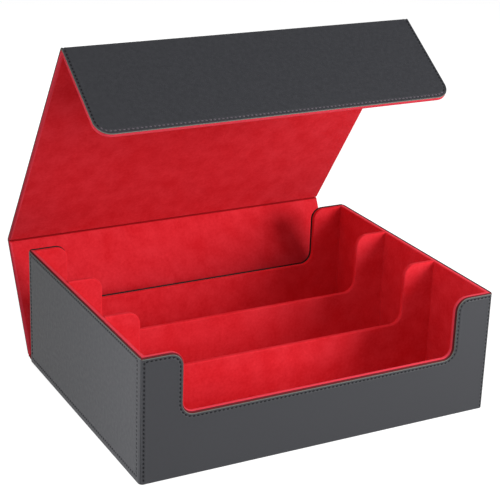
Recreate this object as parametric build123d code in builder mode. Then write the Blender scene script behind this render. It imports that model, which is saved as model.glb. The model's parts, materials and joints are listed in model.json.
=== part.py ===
from build123d import *
import math
import os

# Flip-over card storage box: a tray with three lanes and one long folding cover.
# Millimetres. X runs along the lanes, Y from front to rear, Z up.
# The origin is the middle of the tray's underside.

# Tray sizes
BOX_W = 300.0
BOX_D = 228.0
BOX_H = 100.0
CORNER_R = 2.5

# Sheet thicknesses: outer cover, board core, suede lining
COVER = 1.0
BOARD = 3.0
LINING = 1.0
WALL = COVER + BOARD + LINING
FLOOR_TOP = COVER + BOARD

# The U-shaped window of the front wall, the rear wall and both dividers
WINDOW_W = 234.0
RIM_H = 49.0
EAR_R = 10.0
RIM_R = 9.5

# Dividers: a thinner board inside a lining sleeve
DIVIDER_BOARD = 2.0
DIVIDER = DIVIDER_BOARD + 2 * LINING
LANE_D = (BOX_D - 2 * WALL - 2 * DIVIDER) / 3
DIVIDER_Y = (LANE_D + DIVIDER) / 2

# Folding cover: three panels with the fold axes in the middle of their thickness
LID_W = BOX_W
LID_BOARD = 2.0
LID_T = COVER + LID_BOARD + LINING
LID_CLEARANCE = 0.5
FOLD_GAP = 0.3
FLAP_CORNER_R = 12.5
FLAP_RISE = 19.5
SPINE_L = BOX_H + LID_CLEARANCE
TOP_L = BOX_D + 2 * LID_CLEARANCE + LID_T
FLAP_L = SPINE_L + LID_T / 2 - FLAP_RISE

# How far each panel leans forward from upright, in degrees, as the box stands open
RIGHT_ANGLE = 90.0
SPINE_ANGLE = -27.5
TOP_ANGLE = 34.2
FLAP_ANGLE = TOP_ANGLE + RIGHT_ANGLE

# Closing magnets, sealed in the front wall and the flap
MAGNET_R = 6.0
MAGNET_T = 1.5
MAGNET_FIT = 0.1
MAGNET_X = 75.0
MAGNET_TO_EDGE = 12.5

# Lengths that follow from the sizes above
HALF_W = BOX_W / 2
HALF_D = BOX_D / 2
LANE_W = BOX_W - 2 * WALL
MITRE = 2 * WALL
BASE_AXIS_Y = HALF_D + LID_CLEARANCE + LID_T / 2
BASE_AXIS_Z = LID_T / 2
MAGNET_Z = FLAP_RISE + MAGNET_TO_EDGE

os.makedirs("parts", exist_ok=True)


# Shared outlines
def tray_outline(inset, mode=Mode.ADD):
    """The tray seen from above, drawn in by an inset."""
    radius = CORNER_R - inset
    if radius > 0:
        RectangleRounded(BOX_W - 2 * inset, BOX_D - 2 * inset, radius, mode=mode)
    else:
        Rectangle(BOX_W - 2 * inset, BOX_D - 2 * inset, mode=mode)


def wall_plan(wall, outer, inner):
    """One layer of a wall seen from above, mitred where it meets its neighbours."""
    wedges = {
        "front": [(-HALF_W, -HALF_D), (HALF_W, -HALF_D),
                  (HALF_W - MITRE, MITRE - HALF_D), (MITRE - HALF_W, MITRE - HALF_D)],
        "rear": [(HALF_W, HALF_D), (-HALF_W, HALF_D),
                 (MITRE - HALF_W, HALF_D - MITRE), (HALF_W - MITRE, HALF_D - MITRE)],
        "left": [(-HALF_W, HALF_D), (-HALF_W, -HALF_D),
                 (MITRE - HALF_W, MITRE - HALF_D), (MITRE - HALF_W, HALF_D - MITRE)],
        "right": [(HALF_W, -HALF_D), (HALF_W, HALF_D),
                  (HALF_W - MITRE, HALF_D - MITRE), (HALF_W - MITRE, MITRE - HALF_D)],
    }
    with BuildSketch() as plan:
        tray_outline(outer)
        tray_outline(inner, Mode.SUBTRACT)
        Polygon(*wedges[wall], align=None, mode=Mode.INTERSECT)
    return plan.sketch


def window_wall(half_width, bottom, inset):
    """A wall with its U-shaped window, square on; the inset draws its free edge in."""
    with BuildSketch() as wall:
        with Locations((0, bottom)):
            Rectangle(2 * half_width, BOX_H - inset - bottom, align=(Align.CENTER, Align.MIN))
        with Locations((0, RIM_H - inset)):
            Rectangle(
                WINDOW_W + 2 * inset,
                BOX_H,
                align=(Align.CENTER, Align.MIN),
                mode=Mode.SUBTRACT,
            )
        fillet(wall.vertices().group_by(Axis.Y)[1], RIM_R + inset)
        ear_corners = wall.vertices().group_by(Axis.Y)[-1].sort_by(Axis.X)[1:3]
        fillet(ear_corners, EAR_R - inset)
    return wall.sketch


def panel_outline(length, inset, free_end):
    """A cover panel square on, from its fold axis to its next fold or its free edge."""
    far = length - inset if free_end else length
    with BuildSketch() as outline:
        Rectangle(LID_W - 2 * inset, far, align=(Align.CENTER, Align.MIN))
        if free_end:
            fillet(outline.vertices().group_by(Axis.Y)[-1], FLAP_CORNER_R - inset)
    return outline.sketch


def fold_profile(length, free_end):
    """A cover panel edge on: bevelled on the inside wherever it meets a fold."""
    half = LID_T / 2
    near = [(FOLD_GAP + half, -half), (FOLD_GAP, 0), (FOLD_GAP, half)]
    far = [(length - FOLD_GAP, half), (length - FOLD_GAP, 0), (length - FOLD_GAP - half, -half)]
    if free_end:
        far = [(length, half), (length, -half)]
    with BuildSketch() as profile:
        Polygon(*near, *far, align=None)
    return profile.sketch


def fold_sector(axis, start, end, inner, outer):
    """The section of a strip bent round a fold axis, from one angle to another."""
    with BuildSketch() as sector:
        with BuildLine():
            bend = CenterArc(axis, outer, start, end - start)
            if inner > 0:
                hollow = CenterArc(axis, inner, start, end - start)
                Line(bend @ 0, hollow @ 0)
                Line(bend @ 1, hollow @ 1)
            else:
                Line(bend @ 0, axis)
                Line(bend @ 1, axis)
        make_face()
    return sector.sketch


def along(axis, lean, length):
    """The point one panel length on from a fold axis."""
    angle = math.radians(lean)
    return (axis[0] - length * math.sin(angle), axis[1] + length * math.cos(angle))


def panel_plane(axis, lean):
    """The plane in the middle of a panel: local Y up the panel, Z out of its cover."""
    angle = math.radians(lean)
    return Plane(
        origin=(0, axis[0], axis[1]),
        x_dir=(-1, 0, 0),
        z_dir=(0, math.cos(angle), math.sin(angle)),
    )


def edge_on(panel):
    """The same panel seen along its fold axis."""
    return Plane(origin=panel.origin, x_dir=panel.y_dir, z_dir=panel.x_dir)


# Base of the tray
with BuildPart() as base_cover:
    with BuildSketch():
        tray_outline(COVER)
        with Locations((0, HALF_D)):
            Rectangle(BOX_W - 2 * CORNER_R, MITRE, align=(Align.CENTER, Align.MAX))
            Rectangle(
                BOX_W - 2 * COVER,
                BASE_AXIS_Y - HALF_D,
                align=(Align.CENTER, Align.MIN),
            )
    extrude(amount=COVER)
base_cover.part.label = "base_cover"
export_step(base_cover.part, "parts/base_cover.step")

with BuildPart() as floor_board:
    with BuildSketch(Plane.XY.offset(COVER)):
        tray_outline(COVER)
    extrude(amount=BOARD)
floor_board.part.label = "floor_board"
export_step(floor_board.part, "parts/floor_board.step")

# A lining sheet on the floor of each lane
for lane, lane_y in (
    ("front", -LANE_D - DIVIDER),
    ("middle", 0),
    ("rear", LANE_D + DIVIDER),
):
    with BuildPart() as floor_lining:
        with BuildSketch(Plane.XY.offset(FLOOR_TOP)):
            with Locations((0, lane_y)):
                Rectangle(LANE_W, LANE_D)
        extrude(amount=LINING)
    floor_lining.part.label = f"{lane}_floor_lining"
    export_step(floor_lining.part, f"parts/{lane}_floor_lining.step")

# Left and right walls: plain boards
for wall in ("left", "right"):
    with BuildPart() as side_board:
        with BuildSketch(Plane.XY.offset(FLOOR_TOP)):
            add(wall_plan(wall, COVER, COVER + BOARD))
        extrude(amount=BOX_H - FLOOR_TOP - LINING)
    side_board.part.label = f"{wall}_wall_board"
    export_step(side_board.part, f"parts/{wall}_wall_board.step")

    with BuildPart() as side_cover:
        with BuildSketch():
            add(wall_plan(wall, 0, COVER))
        extrude(amount=BOX_H)
    side_cover.part.label = f"{wall}_wall_cover"
    export_step(side_cover.part, f"parts/{wall}_wall_cover.step")

    with BuildPart() as side_lining:
        with BuildSketch(Plane.XY.offset(FLOOR_TOP)):
            add(wall_plan(wall, COVER, WALL))
        extrude(amount=BOX_H - FLOOR_TOP)
        with BuildSketch(Plane.XY.offset(FLOOR_TOP)):
            add(wall_plan(wall, COVER, COVER + BOARD))
        extrude(amount=BOX_H - FLOOR_TOP - LINING, mode=Mode.SUBTRACT)
    side_lining.part.label = f"{wall}_wall_lining"
    export_step(side_lining.part, f"parts/{wall}_wall_lining.step")

# Front and rear walls: both planes look into the tray
FACES = {
    "front": Plane(origin=(0, -HALF_D, 0), x_dir=(-1, 0, 0), z_dir=(0, 1, 0)),
    "rear": Plane(origin=(0, HALF_D, 0), x_dir=(1, 0, 0), z_dir=(0, -1, 0)),
}
COVER_START = {"front": 0, "rear": COVER}

for wall, face in FACES.items():
    with BuildPart() as window_board:
        with BuildSketch(face):
            add(window_wall(HALF_W, FLOOR_TOP, LINING))
        extrude(amount=MITRE)
        with BuildSketch():
            add(wall_plan(wall, COVER, COVER + BOARD))
        extrude(amount=BOX_H, mode=Mode.INTERSECT)
        if wall == "front":
            with BuildSketch(face.offset(COVER)):
                with Locations((-MAGNET_X, MAGNET_Z), (MAGNET_X, MAGNET_Z)):
                    Circle(MAGNET_R + MAGNET_FIT)
            extrude(amount=MAGNET_T, mode=Mode.SUBTRACT)
    window_board.part.label = f"{wall}_wall_board"
    export_step(window_board.part, f"parts/{wall}_wall_board.step")

    with BuildPart() as window_cover:
        with BuildSketch(face):
            add(window_wall(HALF_W, COVER_START[wall], 0))
        extrude(amount=MITRE)
        with BuildSketch():
            add(wall_plan(wall, 0, COVER))
        extrude(amount=BOX_H, mode=Mode.INTERSECT)
    window_cover.part.label = f"{wall}_wall_cover"
    export_step(window_cover.part, f"parts/{wall}_wall_cover.step")

    with BuildPart() as window_lining:
        with BuildSketch(face):
            add(window_wall(HALF_W, FLOOR_TOP, 0))
        extrude(amount=MITRE)
        with BuildSketch():
            add(wall_plan(wall, COVER, WALL))
        extrude(amount=BOX_H, mode=Mode.INTERSECT)
        with BuildSketch(face):
            add(window_wall(HALF_W, FLOOR_TOP, LINING))
        extrude(amount=COVER + BOARD, mode=Mode.SUBTRACT)
    window_lining.part.label = f"{wall}_wall_lining"
    export_step(window_lining.part, f"parts/{wall}_wall_lining.step")

# Dividers: a window board in a sleeve that folds over its top edge
for divider, divider_y in (("front", -DIVIDER_Y), ("rear", DIVIDER_Y)):
    with BuildPart() as divider_board:
        with BuildSketch(Plane.XZ.offset(-divider_y)):
            add(window_wall(LANE_W / 2, FLOOR_TOP, LINING))
        extrude(amount=DIVIDER_BOARD / 2, both=True)
    divider_board.part.label = f"{divider}_divider_board"
    export_step(divider_board.part, f"parts/{divider}_divider_board.step")

    with BuildPart() as divider_lining:
        with BuildSketch(Plane.XZ.offset(-divider_y)):
            add(window_wall(LANE_W / 2, FLOOR_TOP, 0))
        extrude(amount=DIVIDER / 2, both=True)
        with BuildSketch(Plane.XZ.offset(-divider_y)):
            add(window_wall(LANE_W / 2, FLOOR_TOP, LINING))
        extrude(amount=DIVIDER_BOARD / 2, both=True, mode=Mode.SUBTRACT)
    divider_lining.part.label = f"{divider}_divider_lining"
    export_step(divider_lining.part, f"parts/{divider}_divider_lining.step")

# Fold axes, as (Y, Z) points, and the three panels of the folding cover
BASE_AXIS = (BASE_AXIS_Y, BASE_AXIS_Z)
RIDGE_AXIS = along(BASE_AXIS, SPINE_ANGLE, SPINE_L)
FLAP_AXIS = along(RIDGE_AXIS, TOP_ANGLE, TOP_L)
PANELS = {
    "spine": (panel_plane(BASE_AXIS, SPINE_ANGLE), SPINE_L, False),
    "top": (panel_plane(RIDGE_AXIS, TOP_ANGLE), TOP_L, False),
    "flap": (panel_plane(FLAP_AXIS, FLAP_ANGLE), FLAP_L, True),
}

for name, (panel, length, free_end) in PANELS.items():
    with BuildPart() as panel_board:
        with BuildSketch(panel.offset(LINING - LID_T / 2)):
            add(panel_outline(length, LINING, free_end))
        extrude(amount=LID_BOARD)
        with BuildSketch(edge_on(panel)):
            add(fold_profile(length, free_end))
        extrude(amount=LID_W / 2, both=True, mode=Mode.INTERSECT)
        if free_end:
            with BuildSketch(panel.offset(LINING - LID_T / 2)):
                magnet_y = length - MAGNET_TO_EDGE
                with Locations((-MAGNET_X, magnet_y), (MAGNET_X, magnet_y)):
                    Circle(MAGNET_R + MAGNET_FIT)
            extrude(amount=MAGNET_T, mode=Mode.SUBTRACT)
    panel_board.part.label = f"{name}_board"
    export_step(panel_board.part, f"parts/{name}_board.step")

    with BuildPart() as panel_cover:
        with BuildSketch(panel.offset(LID_T / 2 - COVER)):
            add(panel_outline(length, 0, free_end))
        extrude(amount=COVER)
        with BuildSketch(edge_on(panel)):
            add(fold_profile(length, free_end))
        extrude(amount=LID_W / 2, both=True, mode=Mode.INTERSECT)
    panel_cover.part.label = f"{name}_cover"
    export_step(panel_cover.part, f"parts/{name}_cover.step")

    with BuildPart() as panel_lining:
        with BuildSketch(panel.offset(-LID_T / 2)):
            add(panel_outline(length, 0, free_end))
        extrude(amount=LINING + LID_BOARD)
        with BuildSketch(panel.offset(LINING - LID_T / 2)):
            add(panel_outline(length, LINING, free_end))
        extrude(amount=LID_BOARD, mode=Mode.SUBTRACT)
        with BuildSketch(edge_on(panel)):
            add(fold_profile(length, free_end))
        extrude(amount=LID_W / 2, both=True, mode=Mode.INTERSECT)
    panel_lining.part.label = f"{name}_lining"
    export_step(panel_lining.part, f"parts/{name}_lining.step")

# Living hinges: the cover sheet bent round each fold and the cloth tape inside it
FOLDS = {
    "base": (BASE_AXIS, -RIGHT_ANGLE, SPINE_ANGLE),
    "ridge": (RIDGE_AXIS, SPINE_ANGLE, TOP_ANGLE),
    "flap": (FLAP_AXIS, TOP_ANGLE, FLAP_ANGLE),
}
STRIP_INNER_R = LID_T / 2 - COVER
TAPE_R = STRIP_INNER_R - MAGNET_FIT

for name, (axis, start, end) in FOLDS.items():
    with BuildPart() as hinge_strip:
        with BuildSketch(Plane.YZ):
            add(fold_sector(axis, start, end, STRIP_INNER_R, LID_T / 2))
        extrude(amount=LID_W / 2 - COVER, both=True)
    hinge_strip.part.label = f"{name}_hinge_strip"
    export_step(hinge_strip.part, f"parts/{name}_hinge_strip.step")

    with BuildPart() as hinge_tape:
        with BuildSketch(Plane.YZ):
            add(fold_sector(axis, start, end, 0, TAPE_R))
        extrude(amount=LID_W / 2 - COVER, both=True)
    hinge_tape.part.label = f"{name}_hinge_tape"
    export_step(hinge_tape.part, f"parts/{name}_hinge_tape.step")

# Magnets: one pair in the front wall, one pair in the flap
with BuildPart() as wall_magnets:
    with BuildSketch(FACES["front"].offset(COVER)):
        with Locations((-MAGNET_X, MAGNET_Z), (MAGNET_X, MAGNET_Z)):
            Circle(MAGNET_R)
    extrude(amount=MAGNET_T)
wall_magnets.part.label = "wall_magnets"
export_step(wall_magnets.part, "parts/wall_magnets.step")

with BuildPart() as flap_magnets:
    with BuildSketch(PANELS["flap"][0].offset(LINING - LID_T / 2)):
        with Locations(
            (-MAGNET_X, FLAP_L - MAGNET_TO_EDGE), (MAGNET_X, FLAP_L - MAGNET_TO_EDGE)
        ):
            Circle(MAGNET_R)
    extrude(amount=MAGNET_T)
flap_magnets.part.label = "flap_magnets"
export_step(flap_magnets.part, "parts/flap_magnets.step")
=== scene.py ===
# %% [markdown]
# # A card storage box with a folding cover
# The box is a tray with three long lanes, wrapped in dark grey leathercloth and lined with red
# suede cloth. One long cover folds over its rear, top and front on living hinges.
# The CAD model is loaded first and stays fixed. Each soft sheet is then built over its CAD
# node from the same sizes, so the looks and the solids share one frame.

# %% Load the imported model
import json
import math
import bpy
import bmesh
import numpy as np
from mathutils import Matrix, Vector


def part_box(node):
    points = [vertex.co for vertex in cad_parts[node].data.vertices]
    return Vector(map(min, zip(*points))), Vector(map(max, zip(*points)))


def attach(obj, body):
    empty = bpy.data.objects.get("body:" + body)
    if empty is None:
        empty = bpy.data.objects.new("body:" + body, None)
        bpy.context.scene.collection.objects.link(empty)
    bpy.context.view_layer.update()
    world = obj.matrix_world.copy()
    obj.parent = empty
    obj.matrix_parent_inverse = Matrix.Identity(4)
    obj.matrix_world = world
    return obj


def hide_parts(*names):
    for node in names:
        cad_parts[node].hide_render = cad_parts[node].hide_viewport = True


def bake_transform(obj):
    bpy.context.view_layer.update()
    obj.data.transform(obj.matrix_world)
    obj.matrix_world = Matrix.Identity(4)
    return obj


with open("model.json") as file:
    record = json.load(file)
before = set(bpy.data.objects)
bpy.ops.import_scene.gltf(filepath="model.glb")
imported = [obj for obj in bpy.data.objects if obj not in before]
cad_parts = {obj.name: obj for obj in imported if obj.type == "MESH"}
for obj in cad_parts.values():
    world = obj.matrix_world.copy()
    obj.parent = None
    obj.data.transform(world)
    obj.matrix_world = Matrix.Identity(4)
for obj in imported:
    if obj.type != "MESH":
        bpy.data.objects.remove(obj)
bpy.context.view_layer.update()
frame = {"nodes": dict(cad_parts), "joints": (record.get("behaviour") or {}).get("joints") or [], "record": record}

# %% [markdown]
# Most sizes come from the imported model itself, in millimetres: the walls' outer faces, the
# thickness of the leathercloth and of a whole wall, and the three fold axes. Reading them
# keeps every sheet seated if the model changes. The first axis lies in the middle of its
# panel, so its height above the table is half a panel's thickness. Only the flap's length
# is written out, because no fold marks its free edge.

# %% Measure the box
MM = 0.001


def box_mm(node):
    """The lowest and the highest corner of a CAD node, in millimetres."""
    low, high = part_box(node)
    return np.array(low) / MM, np.array(high) / MM


HALF_W = box_mm("right_wall_cover")[1][0]
HALF_D = -box_mm("front_wall_cover")[0][1]
HEIGHT = box_mm("left_wall_cover")[1][2]
INSIDE_W = box_mm("middle_floor_lining")[1][0]
FLOOR_TOP = box_mm("middle_floor_lining")[0][2]
COVER = box_mm("base_cover")[1][2]
SLAB = HALF_W - COVER - INSIDE_W

axes = {j["name"]: np.array(j["pos_m"][1:]) / MM for j in frame["joints"]}
BASE_AXIS, RIDGE_AXIS, FLAP_AXIS = axes["base_fold"], axes["ridge_fold"], axes["flap_fold"]
HALF_T = BASE_AXIS[1]
SPINE_L = np.linalg.norm(RIDGE_AXIS - BASE_AXIS)
TOP_L = np.linalg.norm(FLAP_AXIS - RIDGE_AXIS)
FLAP_L = 83.0
print("tray in mm", [round(float(v), 1) for v in (2 * HALF_W, 2 * HALF_D, HEIGHT)])
print("panels in mm", [round(float(v), 1) for v in (SPINE_L, TOP_L, FLAP_L)])

# %% [markdown]
# The camera stands where the photograph was taken from. Its place was found by fitting the
# corners of the box, so it is written as a position, three angles and a focal length in
# pixels, which the sensor's width turns into millimetres. The small roll is real: the box
# leans a little in the picture.

# %% Set up the camera
scene = bpy.context.scene
CAMERA_AT = Vector((-526.6, -963.1, 538.5))
FOCAL_PIXELS, PICTURE_PIXELS, SENSOR_W = 1481.6, 500, 36
yaw, pitch, roll = (math.radians(a) for a in (28.414, 20.989, 2.025))

flat_x, flat_y = math.sin(yaw) * math.cos(pitch), math.cos(yaw) * math.cos(pitch)
ahead = Vector((flat_x, flat_y, -math.sin(pitch)))
level = Vector((math.cos(yaw), -math.sin(yaw), 0))
upward = level.cross(ahead)
right = math.cos(roll) * level + math.sin(roll) * upward
up = -math.sin(roll) * level + math.cos(roll) * upward

camera_data = bpy.data.cameras.new("photo_camera")
camera_data.sensor_width = SENSOR_W
camera_data.lens = SENSOR_W * FOCAL_PIXELS / PICTURE_PIXELS
camera_data.clip_start = 50 * MM
camera = bpy.data.objects.new("photo_camera", camera_data)
turned = Matrix((right, up, -ahead)).transposed().to_4x4()
camera.matrix_world = Matrix.Translation(CAMERA_AT * MM) @ turned
scene.collection.objects.link(camera)
scene.camera = camera
print("lens in mm", round(camera_data.lens, 1))

# %% [markdown]
# Materials are small node trees. Two helpers do most of the work: one turns a hex colour as
# seen on a screen into the linear numbers that Blender mixes with, the other adds a node,
# sets its values and links its inputs in one line. The textures lie in object coordinates,
# which are metres here, so a pattern of one size is one over that size in Scale.

# %% Helpers for materials


def linear(hex_colour):
    """A screen colour as linear numbers, by the standard curve of screens."""
    channels = [int(hex_colour[i : i + 2], 16) / 255 for i in (1, 3, 5)]
    return [c / 12.92 if c <= 0.04045 else ((c + 0.055) / 1.055) ** 2.4 for c in channels] + [1.0]


def node(tree, kind, links=None, **settings):
    """Adds a node. links gives its inputs, each an output to join or a value to set."""
    made = tree.nodes.new(kind)
    for key, value in settings.items():
        setattr(made, key, value)
    for socket, value in (links or {}).items():
        if isinstance(value, bpy.types.NodeSocket):
            tree.links.new(value, made.inputs[socket])
        else:
            made.inputs[socket].default_value = value
    return made


def empty_tree(block):
    """The node tree of a material or a world, cleared of the nodes it starts with."""
    block.use_nodes = True
    block.node_tree.nodes.clear()
    return block.node_tree


def new_material(name):
    """A material, its tree, its shader and the coordinates for its textures."""
    material = bpy.data.materials.new(name)
    tree = empty_tree(material)
    shader = node(tree, "ShaderNodeBsdfPrincipled")
    node(tree, "ShaderNodeOutputMaterial", {"Surface": shader.outputs["BSDF"]})
    place = node(tree, "ShaderNodeTexCoord").outputs["Object"]
    return material, tree, shader, place


print("the screen's middle grey in linear light", round(linear("#808080")[0], 3))

# %% [markdown]
# The outside is leathercloth: a woven backing with a polyurethane skin that was embossed
# between rollers to a fine, even grain. The real grain is about 0.5 mm, too fine to show
# from here, so the cells are drawn 0.9 mm wide. The gloss is soft and broad, and both gloss
# and colour are finely mottled, as the skin is a little thinner between the fibres below.

# %% Leathercloth
GRAIN_W, GRAIN_H, MOTTLE_W = 0.9, 0.08, 3.0
leathercloth, tree, shader, place = new_material("embossed_leathercloth")
cells = node(tree, "ShaderNodeTexVoronoi", {"Vector": place, "Scale": 1 / (GRAIN_W * MM)})
fine = node(
    tree, "ShaderNodeTexNoise",
    {"Vector": place, "Scale": 1 / (MOTTLE_W * MM), "Detail": 4.0},
)
tone = node(
    tree, "ShaderNodeMix",
    {"Factor": fine.outputs["Fac"], "A": linear("#27282d"), "B": linear("#36373c")},
    data_type="RGBA",
)
gloss = node(
    tree, "ShaderNodeMapRange",
    {"Value": fine.outputs["Fac"], "From Min": 0.3, "From Max": 0.7, "To Min": 0.5, "To Max": 0.62},
)
grain = node(
    tree, "ShaderNodeBump",
    {"Strength": 0.25, "Distance": GRAIN_H * MM, "Height": cells.outputs["Distance"]},
)
tree.links.new(tone.outputs["Result"], shader.inputs["Base Color"])
tree.links.new(gloss.outputs["Result"], shader.inputs["Roughness"])
tree.links.new(grain.outputs["Normal"], shader.inputs["Normal"])
shader.inputs["IOR"].default_value = 1.5
print(leathercloth.name, len(tree.nodes), "nodes")

# %% [markdown]
# Where the sheet was cut, its edge shows the lighter backing, rolled over and polished with an edge dye. It reads
# as a thin pale line round the front window, the walls' tops and the cover, so it is a material of its own on the
# edge faces. Its pale tone is partly painted highlight: the light that the rolled edge catches from the lamps.

# %% Dyed cut edge, partly painted highlight
FIBRE_W = 1.2
cut_edge_painted_highlight, tree, shader, place = new_material("dyed_cut_edge_painted_highlight")
fibres = node(
    tree, "ShaderNodeTexNoise",
    {"Vector": place, "Scale": 1 / (FIBRE_W * MM), "Detail": 3.0},
)
tone = node(
    tree, "ShaderNodeMix",
    {"Factor": fibres.outputs["Fac"], "A": linear("#5d6059"), "B": linear("#75776e")},
    data_type="RGBA",
)
tree.links.new(tone.outputs["Result"], shader.inputs["Base Color"])
shader.inputs["Roughness"].default_value = 0.6
print(cut_edge_painted_highlight.name, len(tree.nodes), "nodes")

# %% [markdown]
# Between the leathercloth's edge and the lining is a narrow gap where both are glued to the board. Its near-black
# colour is dried glue and painted shade of that gap.

# %% Glue line and painted shade
CRUMB_W = 0.8
glue_and_painted_shade, tree, shader, place = new_material("dried_glue_painted_shade")
crumbs = node(tree, "ShaderNodeTexNoise", {"Vector": place, "Scale": 1 / (CRUMB_W * MM)})
tone = node(
    tree, "ShaderNodeMix",
    {"Factor": crumbs.outputs["Fac"], "A": linear("#0c0b0b"), "B": linear("#1d1a1a")},
    data_type="RGBA",
)
tree.links.new(tone.outputs["Result"], shader.inputs["Base Color"])
shader.inputs["Roughness"].default_value = 0.7
shader.inputs["Specular IOR Level"].default_value = 0.2
print(glue_and_painted_shade.name, len(tree.nodes), "nodes")

# %% [markdown]
# The lining is suede cloth, a knitted microfibre whose face was brushed into a short nap.
# The nap scatters light towards its edges, which is sheen, and lies in slightly different
# directions, which makes soft patches a few centimetres wide and a fine speckle of fibres.

# %% Suede cloth
PATCH_W, SPECKLE_W, NAP_H = 14.0, 2.2, 0.15
suede, tree, shader, place = new_material("brushed_suede_cloth")
patches = node(
    tree, "ShaderNodeTexNoise",
    {"Vector": place, "Scale": 1 / (PATCH_W * MM), "Detail": 3.0},
)
speckle = node(
    tree, "ShaderNodeTexNoise",
    {"Vector": place, "Scale": 1 / (SPECKLE_W * MM), "Detail": 5.0, "Roughness": 0.7},
)
both = node(
    tree, "ShaderNodeMath",
    {0: patches.outputs["Fac"], 1: speckle.outputs["Fac"]},
    operation="ADD",
)
lie = node(
    tree, "ShaderNodeMapRange",
    {"Value": both.outputs["Value"], "From Min": 0.75, "From Max": 1.25},
)
tone = node(
    tree, "ShaderNodeMix",
    {"Factor": lie.outputs["Result"], "A": linear("#dc1a26"), "B": linear("#e8303c")},
    data_type="RGBA",
)
nap = node(
    tree, "ShaderNodeBump",
    {"Strength": 0.35, "Distance": NAP_H * MM, "Height": speckle.outputs["Fac"]},
)
tree.links.new(tone.outputs["Result"], shader.inputs["Base Color"])
tree.links.new(nap.outputs["Normal"], shader.inputs["Normal"])
shader.inputs["Roughness"].default_value = 0.9
shader.inputs["Specular IOR Level"].default_value = 0.2
shader.inputs["Sheen Weight"].default_value = 0.08
shader.inputs["Sheen Roughness"].default_value = 0.5
shader.inputs["Sheen Tint"].default_value = linear("#ff5060")
print(suede.name, len(tree.nodes), "nodes")

# %% [markdown]
# Where the suede cloth is folded over a board, the fold catches more light than the faces beside it. That light is
# painted into a material of its own, on those faces only: the same cloth with a paler colour, which is painted
# highlight, and more sheen.

# %% Folded suede cloth, with painted highlight


def turned_cloth(name, grain, dark, pale):
    """Suede cloth in two tones with a fine speckle between, for painted highlight or painted shade."""
    material, tree, shader, place = new_material(name)
    speckle = node(
        tree, "ShaderNodeTexNoise",
        {"Vector": place, "Scale": 1 / (grain * MM), "Detail": 4.0},
    )
    tone = node(
        tree, "ShaderNodeMix",
        {"Factor": speckle.outputs["Fac"], "A": linear(dark), "B": linear(pale)},
        data_type="RGBA",
    )
    tree.links.new(tone.outputs["Result"], shader.inputs["Base Color"])
    shader.inputs["Roughness"].default_value = 0.9
    shader.inputs["Specular IOR Level"].default_value = 0.2
    print(name, len(tree.nodes), "nodes")
    return material, shader


fold_painted_highlight, shader = turned_cloth("suede_fold_painted_highlight", SPECKLE_W, "#dd303f", "#ec4457")
shader.inputs["Sheen Weight"].default_value = 0.4
shader.inputs["Sheen Tint"].default_value = linear("#ff6a74")

# %% [markdown]
# Beyond the fold the cloth is pressed down on the board, and the leathercloth's edge stands before it. The dark
# red there is painted shade of the gap, a line beside the cut edge. In the bottom of the cover's folds the deeper
# red is painted shade of the crease. Both are the same cloth, so the same function makes them, without the extra
# sheen.

# %% Pressed and creased suede cloth, in painted shade
TURN_IN_SPECKLE_W = 1.5
suede_painted_shade, _ = turned_cloth("suede_turn_in_painted_shade", TURN_IN_SPECKLE_W, "#5a1b20", "#7a252c")
crease_painted_shade, _ = turned_cloth("crease_painted_shade", SPECKLE_W, "#b80f19", "#c41620")

# %% [markdown]
# The sewing thread is twisted polyester, almost black. Along the flap's free edge the thread is painted pale, a
# painted highlight of the light from above, so the same tree is made in two pairs of tones. The twist is a
# slanting wave along the thread.

# %% Sewing thread
TWIST = 2.5
threads = []
for kind, dark, pale in (
    ("twisted_polyester_thread", "#090a0e", "#15161c"),
    ("polyester_thread_painted_highlight", "#564f57", "#6a616a"),
):
    thread, tree, shader, place = new_material(kind)
    twist = node(
        tree, "ShaderNodeTexWave",
        {"Vector": place, "Scale": 1 / (TWIST * MM)},
        bands_direction="DIAGONAL",
    )
    tone = node(
        tree, "ShaderNodeMix",
        {"Factor": twist.outputs["Fac"], "A": linear(dark), "B": linear(pale)},
        data_type="RGBA",
    )
    tree.links.new(tone.outputs["Result"], shader.inputs["Base Color"])
    shader.inputs["Roughness"].default_value = 0.7
    shader.inputs["Specular IOR Level"].default_value = 0.25
    threads.append(thread)
    print(thread.name, len(tree.nodes), "nodes")

# %% [markdown]
# The boards inside are pressed grey board, and the magnets are nickel-plated discs. Both
# show only in a cut box, so their finishes are simple: a pulp's speckle, and a plating whose
# gloss is a little worn. Every CAD node then gets the finish that its record names.

# %% Board and magnets
PULP_W, RUB_W = 1.5, 4.0
grey_board, tree, shader, place = new_material("pressed_grey_board")
pulp = node(
    tree, "ShaderNodeTexNoise",
    {"Vector": place, "Scale": 1 / (PULP_W * MM), "Detail": 6.0},
)
tone = node(
    tree, "ShaderNodeMix",
    {"Factor": pulp.outputs["Fac"], "A": linear("#8d8474"), "B": linear("#aaa08d")},
    data_type="RGBA",
)
tree.links.new(tone.outputs["Result"], shader.inputs["Base Color"])
shader.inputs["Roughness"].default_value = 0.9

plated_magnet, tree, shader, place = new_material("nickel_plated_magnet")
rub = node(tree, "ShaderNodeTexNoise", {"Vector": place, "Scale": 1 / (RUB_W * MM)})
wear = node(
    tree, "ShaderNodeMapRange",
    {"Value": rub.outputs["Fac"], "To Min": 0.2, "To Max": 0.35},
)
tree.links.new(wear.outputs["Result"], shader.inputs["Roughness"])
shader.inputs["Base Color"].default_value = linear("#c3c0b8")
shader.inputs["Metallic"].default_value = 1.0

finish_of = {"cover": leathercloth, "lining": suede, "board": grey_board, "magnet": plated_magnet}
for part in frame["record"]["subparts"]:
    mesh = frame["nodes"][part["node"]].data
    mesh.materials.clear()
    mesh.materials.append(finish_of[part["material_slot"]])

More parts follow.
